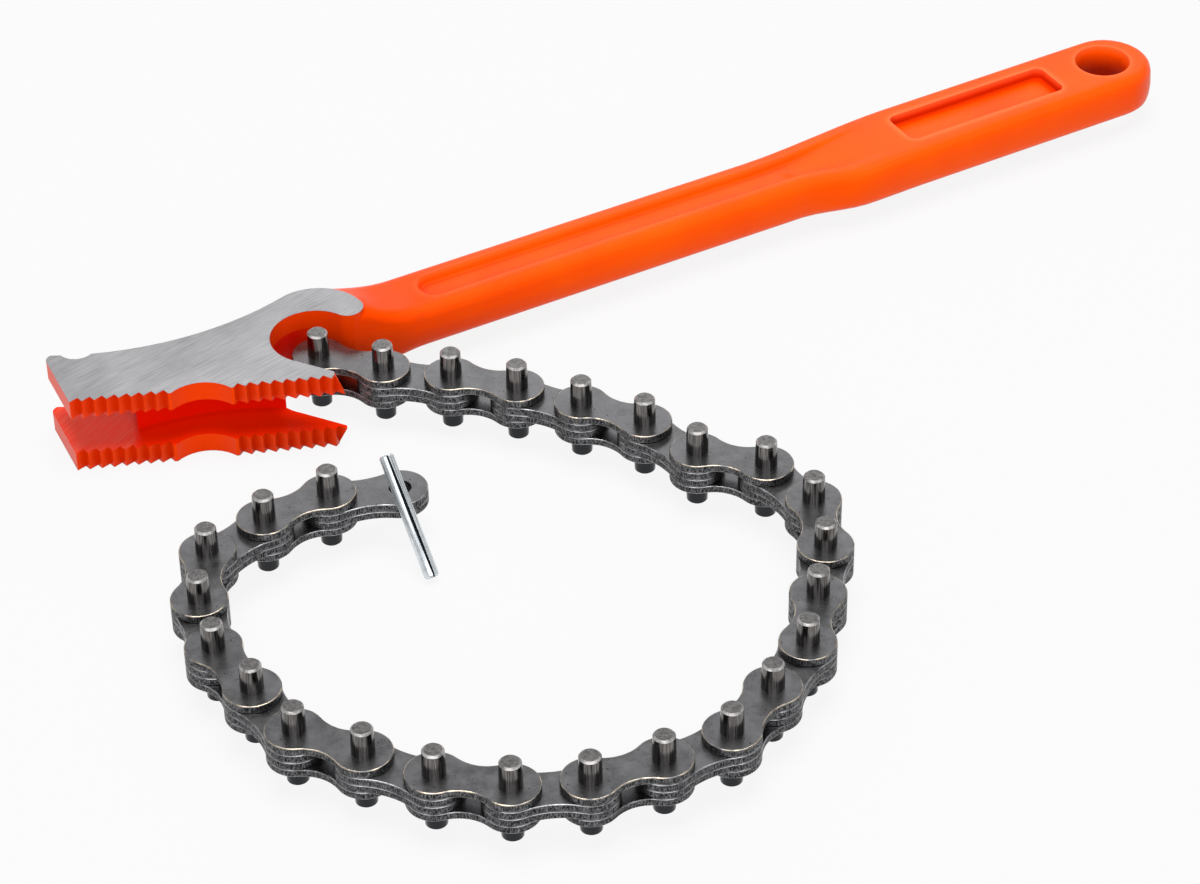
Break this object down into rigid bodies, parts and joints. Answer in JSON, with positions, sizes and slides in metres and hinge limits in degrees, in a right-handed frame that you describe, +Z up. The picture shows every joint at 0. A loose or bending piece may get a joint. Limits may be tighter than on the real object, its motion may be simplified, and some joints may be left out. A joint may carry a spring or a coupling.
{
  "type": "chain pipe wrench",
  "caption": "Hand tool for gripping pipe: a forged handle with a forked, toothed head, a hooked leaf chain that wraps the pipe, and a loose slotted spring pin.",
  "frame": {"origin": "centre of the bounding box in plan, on the floor the tool lies on", "axes": "+X along the handle from the head to the hang hole, +Y from the chain loop to the back of the handle, +Z up from the floor, along the chain pins"},
  "size_m": [0.3086, 0.1866, 0.0221],
  "materials": {
    "orange_paint": "orange semi-gloss enamel on a steel forging, with the flat faces of the head ground bare",
    "chain_plate": "dark blued pressed steel plate with worn edges",
    "chain_pin": "dark polished steel with a bright chamfer",
    "zinc_pin": "bright zinc plated spring steel"
  },
  "bodies": {
    "wrench": {"wrench_body": "orange_paint"},
    "outer_link_01": {"outer_link_01_top_plate": "chain_plate", "outer_link_01_bottom_plate": "chain_plate", "outer_link_01_pins": "chain_pin"},
    "inner_link_01": {"inner_link_01_plates": "chain_plate"},
    "outer_link_02": {"outer_link_02_top_plate": "chain_plate", "outer_link_02_bottom_plate": "chain_plate", "outer_link_02_pins": "chain_pin"},
    "inner_link_02": {"inner_link_02_plates": "chain_plate"},
    "outer_link_03": {"outer_link_03_top_plate": "chain_plate", "outer_link_03_bottom_plate": "chain_plate", "outer_link_03_pins": "chain_pin"},
    "inner_link_03": {"inner_link_03_plates": "chain_plate"},
    "outer_link_04": {"outer_link_04_top_plate": "chain_plate", "outer_link_04_bottom_plate": "chain_plate", "outer_link_04_pins": "chain_pin"},
    "inner_link_04": {"inner_link_04_plates": "chain_plate"},
    "outer_link_05": {"outer_link_05_top_plate": "chain_plate", "outer_link_05_bottom_plate": "chain_plate", "outer_link_05_pins": "chain_pin"},
    "inner_link_05": {"inner_link_05_plates": "chain_plate"},
    "outer_link_06": {"outer_link_06_top_plate": "chain_plate", "outer_link_06_bottom_plate": "chain_plate", "outer_link_06_pins": "chain_pin"},
    "inner_link_06": {"inner_link_06_plates": "chain_plate"},
    "outer_link_07": {"outer_link_07_top_plate": "chain_plate", "outer_link_07_bottom_plate": "chain_plate", "outer_link_07_pins": "chain_pin"},
    "inner_link_07": {"inner_link_07_plates": "chain_plate"},
    "outer_link_08": {"outer_link_08_top_plate": "chain_plate", "outer_link_08_bottom_plate": "chain_plate", "outer_link_08_pins": "chain_pin"},
    "inner_link_08": {"inner_link_08_plates": "chain_plate"},
    "outer_link_09": {"outer_link_09_top_plate": "chain_plate", "outer_link_09_bottom_plate": "chain_plate", "outer_link_09_pins": "chain_pin"},
    "inner_link_09": {"inner_link_09_plates": "chain_plate"},
    "outer_link_10": {"outer_link_10_top_plate": "chain_plate", "outer_link_10_bottom_plate": "chain_plate", "outer_link_10_pins": "chain_pin"},
    "inner_link_10": {"inner_link_10_plates": "chain_plate"},
    "outer_link_11": {"outer_link_11_top_plate": "chain_plate", "outer_link_11_bottom_plate": "chain_plate", "outer_link_11_pins": "chain_pin"},
    "inner_link_11": {"inner_link_11_plates": "chain_plate"},
    "outer_link_12": {"outer_link_12_top_plate": "chain_plate", "outer_link_12_bottom_plate": "chain_plate", "outer_link_12_pins": "chain_pin"},
    "inner_link_12": {"inner_link_12_plates": "chain_plate"},
    "outer_link_13": {"outer_link_13_top_plate": "chain_plate", "outer_link_13_bottom_plate": "chain_plate", "outer_link_13_pins": "chain_pin"},
    "inner_link_13": {"inner_link_13_plates": "chain_plate"},
    "spring_pin": {"spring_pin": "zinc_pin"}
  },
  "joints": [
    {"name": "hook_pivot", "type": "hinge", "parent": "wrench", "child": "outer_link_01", "pos_m": [-0.08431, 0.06984, 0.0101], "axis": [0, 0, 1], "range_deg": [-33, 16]},
    {"name": "chain_hinge_01", "type": "hinge", "parent": "outer_link_01", "child": "inner_link_01", "pos_m": [-0.07368, 0.05805, 0.0101], "axis": [0, 0, 1], "range_deg": [-4, 3]},
    {"name": "chain_hinge_02", "type": "hinge", "parent": "inner_link_01", "child": "outer_link_02", "pos_m": [-0.0617, 0.04763, 0.0101], "axis": [0, 0, 1], "range_deg": [-4, 6]},
    {"name": "chain_hinge_03", "type": "hinge", "parent": "outer_link_02", "child": "inner_link_02", "pos_m": [-0.05088, 0.03602, 0.0101], "axis": [0, 0, 1], "range_deg": [-4, 6]},
    {"name": "chain_hinge_04", "type": "hinge", "parent": "inner_link_02", "child": "outer_link_03", "pos_m": [-0.04132, 0.02334, 0.0101], "axis": [0, 0, 1], "range_deg": [-4, 3]},
    {"name": "chain_hinge_05", "type": "hinge", "parent": "outer_link_03", "child": "inner_link_03", "pos_m": [-0.03244, 0.01018, 0.0101], "axis": [0, 0, 1], "range_deg": [-4, 17]},
    {"name": "chain_hinge_06", "type": "hinge", "parent": "inner_link_03", "child": "outer_link_04", "pos_m": [-0.0278, -0.005, 0.0101], "axis": [0, 0, 1], "range_deg": [-4, 3]},
    {"name": "chain_hinge_07", "type": "hinge", "parent": "outer_link_04", "child": "inner_link_04", "pos_m": [-0.01718, -0.0168, 0.0101], "axis": [0, 0, 1], "range_deg": [-4, 33]},
    {"name": "chain_hinge_08", "type": "hinge", "parent": "inner_link_04", "child": "outer_link_05", "pos_m": [-0.0147, -0.03248, 0.0101], "axis": [0, 0, 1], "range_deg": [-4, 32]},
    {"name": "chain_hinge_09", "type": "hinge", "parent": "outer_link_05", "child": "inner_link_05", "pos_m": [-0.0209, -0.04709, 0.0101], "axis": [0, 0, 1], "range_deg": [-4, 15]},
    {"name": "chain_hinge_10", "type": "hinge", "parent": "inner_link_05", "child": "outer_link_06", "pos_m": [-0.03067, -0.0596, 0.0101], "axis": [0, 0, 1], "range_deg": [-4, 3]},
    {"name": "chain_hinge_11", "type": "hinge", "parent": "outer_link_06", "child": "inner_link_06", "pos_m": [-0.04088, -0.07176, 0.0101], "axis": [0, 0, 1], "range_deg": [-4, 19]},
    {"name": "chain_hinge_12", "type": "hinge", "parent": "inner_link_06", "child": "outer_link_07", "pos_m": [-0.05449, -0.07994, 0.0101], "axis": [0, 0, 1], "range_deg": [-4, 4]},
    {"name": "chain_hinge_13", "type": "hinge", "parent": "outer_link_07", "child": "inner_link_07", "pos_m": [-0.06863, -0.08714, 0.0101], "axis": [0, 0, 1], "range_deg": [-4, 27]},
    {"name": "chain_hinge_14", "type": "hinge", "parent": "inner_link_07", "child": "outer_link_08", "pos_m": [-0.08451, -0.08714, 0.0101], "axis": [0, 0, 1], "range_deg": [-4, 8]},
    {"name": "chain_hinge_15", "type": "hinge", "parent": "outer_link_08", "child": "inner_link_08", "pos_m": [-0.10023, -0.08493, 0.0101], "axis": [0, 0, 1], "range_deg": [-15, 16]},
    {"name": "chain_hinge_16", "type": "hinge", "parent": "inner_link_08", "child": "outer_link_09", "pos_m": [-0.11473, -0.07848, 0.0101], "axis": [0, 0, 1], "range_deg": [-15, 27]},
    {"name": "chain_hinge_17", "type": "hinge", "parent": "outer_link_09", "child": "inner_link_09", "pos_m": [-0.12634, -0.06765, 0.0101], "axis": [0, 0, 1], "range_deg": [-15, 19]},
    {"name": "chain_hinge_18", "type": "hinge", "parent": "inner_link_09", "child": "outer_link_10", "pos_m": [-0.13567, -0.05481, 0.0101], "axis": [0, 0, 1], "range_deg": [-15, 9]},
    {"name": "chain_hinge_19", "type": "hinge", "parent": "outer_link_10", "child": "inner_link_10", "pos_m": [-0.14478, -0.0418, 0.0101], "axis": [0, 0, 1], "range_deg": [-15, 36]},
    {"name": "chain_hinge_20", "type": "hinge", "parent": "inner_link_10", "child": "outer_link_11", "pos_m": [-0.14671, -0.02605, 0.0101], "axis": [0, 0, 1], "range_deg": [-15, 10]},
    {"name": "chain_hinge_21", "type": "hinge", "parent": "outer_link_11", "child": "inner_link_11", "pos_m": [-0.14809, -0.01023, 0.0101], "axis": [0, 0, 1], "range_deg": [-15, 27]},
    {"name": "chain_hinge_22", "type": "hinge", "parent": "inner_link_11", "child": "outer_link_12", "pos_m": [-0.14425, 0.00517, 0.0101], "axis": [0, 0, 1], "range_deg": [-15, 25]},
    {"name": "chain_hinge_23", "type": "hinge", "parent": "outer_link_12", "child": "inner_link_12", "pos_m": [-0.13608, 0.01878, 0.0101], "axis": [0, 0, 1], "range_deg": [-15, 53]},
    {"name": "chain_hinge_24", "type": "hinge", "parent": "inner_link_12", "child": "outer_link_13", "pos_m": [-0.12067, 0.02262, 0.0101], "axis": [0, 0, 1], "range_deg": [-15, 19]},
    {"name": "chain_hinge_25", "type": "hinge", "parent": "outer_link_13", "child": "inner_link_13", "pos_m": [-0.10482, 0.02345, 0.0101], "axis": [0, 0, 1], "range_deg": [-15, 28]},
    {"name": "spring_pin_lift", "type": "slide", "parent": "inner_link_13", "child": "spring_pin", "axis": [0, 0, 1], "range_m": [0, 0.04]}
  ]
}
